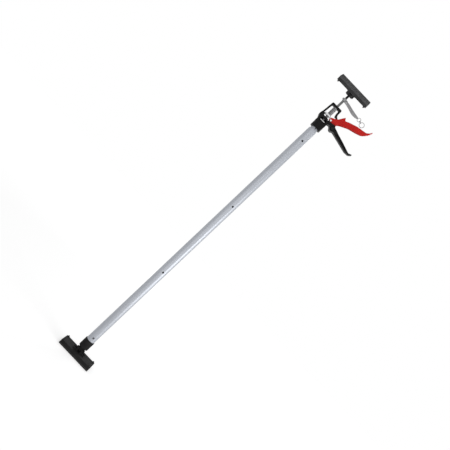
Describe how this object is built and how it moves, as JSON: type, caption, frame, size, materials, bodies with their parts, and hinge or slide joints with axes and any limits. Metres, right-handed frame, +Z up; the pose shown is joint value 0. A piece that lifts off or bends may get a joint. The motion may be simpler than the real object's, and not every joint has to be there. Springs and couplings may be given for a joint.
{
  "type": "telescopic support prop",
  "caption": "Telescopic pump-handle prop: tube in tube with locking holes, squeeze handle that jacks a push rod, and a swivel rubber pad at each end.",
  "frame": {"origin": "centre of the foot pad's sole, on the pole's axis", "axes": "+Z up the pole towards the head pad, +X the way the pump handle sticks out, -Y the pictured side"},
  "size_m": [0.1952, 0.0633, 1.169],
  "materials": {
    "rubber": "matte ribbed black rubber",
    "black_moulding": "moulded black nylon",
    "pole_steel": "silver zinc-plated tube",
    "black_casting": "satin black coated casting",
    "black_steel": "blackened steel",
    "red_paint": "glossy red paint",
    "zinc_steel": "bright zinc plate",
    "spring_steel": "bright spring wire",
    "grey_strap": "flat grey strap"
  },
  "bodies": {
    "pole": {"outer_tube": "pole_steel", "foot_collar": "black_moulding"},
    "foot": {"foot_plate": "black_moulding", "foot_rubber": "rubber", "foot_bolt": "black_steel", "foot_nut": "black_steel"},
    "pump": {"inner_tube": "pole_steel", "gun_body": "black_casting", "socket_screw": "black_steel", "trigger_bolt": "black_steel", "trigger_nut": "black_steel", "drive_spring": "spring_steel", "lock_spring": "spring_steel", "button_spring": "spring_steel"},
    "button": {"snap_button": "zinc_steel"},
    "trigger": {"trigger": "red_paint", "push_pin": "zinc_steel"},
    "drive_plates": {"drive_plate_lower": "zinc_steel", "drive_plate_upper": "zinc_steel"},
    "lock_plate": {"lock_plate": "zinc_steel"},
    "rod": {"rod": "zinc_steel", "rod_stop": "zinc_steel", "head_stem": "black_steel", "strap_clip": "black_steel", "clip_screw": "zinc_steel", "strap_rivet": "zinc_steel"},
    "head": {"head_plate": "black_moulding", "head_rubber": "rubber", "head_bolt": "black_steel", "head_nut": "black_steel"},
    "strap": {"keeper_strap": "grey_strap"},
    "link_inner": {"link_inner": "zinc_steel"},
    "ring_small": {"ring_small": "zinc_steel"},
    "link_outer": {"link_outer": "zinc_steel"},
    "ring_large": {"ring_large": "zinc_steel"}
  },
  "joints": [
    {"name": "foot_tilt", "type": "hinge", "parent": "pole", "child": "foot", "pos_m": [0, 0, 0.0225], "axis": [1, 0, 0], "range_deg": [-40, 40]},
    {"name": "tube_extend", "type": "slide", "parent": "pole", "child": "pump", "axis": [0, 0, 1], "range_m": [0, 0.855], "deforming": ["snap_button"]},
    {"name": "button_press", "type": "slide", "parent": "pump", "child": "button", "axis": [-0.2079, 0.9781, 0], "range_m": [0, 0.0037], "stiffness_N_per_m": 800, "deforming": ["button_spring"]},
    {"name": "trigger_squeeze", "type": "hinge", "parent": "pump", "child": "trigger", "pos_m": [0.037, 0, 1.0235], "axis": [0, 1, 0], "range_deg": [0, 20], "stiffness_Nm_per_rad": 1.2, "springref_deg": -11.46},
    {"name": "drive_lift", "type": "slide", "parent": "pump", "child": "drive_plates", "axis": [0, 0, 1], "range_m": [0, 0.0075], "deforming": ["drive_spring"]},
    {"name": "lock_release", "type": "hinge", "parent": "pump", "child": "lock_plate", "pos_m": [0, 0.008, 1.017], "axis": [-1, 0, 0], "range_deg": [0, 4], "stiffness_Nm_per_rad": 0.6, "springref_deg": -11.46, "deforming": ["lock_spring"]},
    {"name": "rod_extend", "type": "slide", "parent": "pump", "child": "rod", "axis": [0, 0, 1], "range_m": [0, 0.86]},
    {"name": "head_tilt", "type": "hinge", "parent": "rod", "child": "head", "pos_m": [0, 0, 1.136], "axis": [1, 0, 0], "range_deg": [-68, 12]},
    {"name": "strap_swing", "type": "hinge", "parent": "rod", "child": "strap", "pos_m": [0.0085, 0, 1.1105], "axis": [0, -1, 0], "range_deg": [0, 12]},
    {"name": "link_inner_swing", "type": "hinge", "parent": "strap", "child": "link_inner", "pos_m": [0.063, 0, 1.1024], "axis": [0, -1, 0], "range_deg": [0, 25]},
    {"name": "ring_small_swing", "type": "hinge", "parent": "link_inner", "child": "ring_small", "pos_m": [0.0696, 0, 1.1024], "axis": [0, -1, 0], "range_deg": [0, 25]},
    {"name": "link_outer_swing", "type": "hinge", "parent": "ring_small", "child": "link_outer", "pos_m": [0.07893, 0, 1.10083], "axis": [0.2756, 0, 0.9613], "range_deg": [-25, 25]},
    {"name": "ring_large_swing", "type": "hinge", "parent": "link_outer", "child": "ring_large", "pos_m": [0.08484, 0, 1.09913], "axis": [0, -1, 0], "range_deg": [0, 25]}
  ],
  "couplings": [
    {"joint": "drive_lift", "follows": "trigger_squeeze", "m_per_rad": 0.0205}
  ]
}
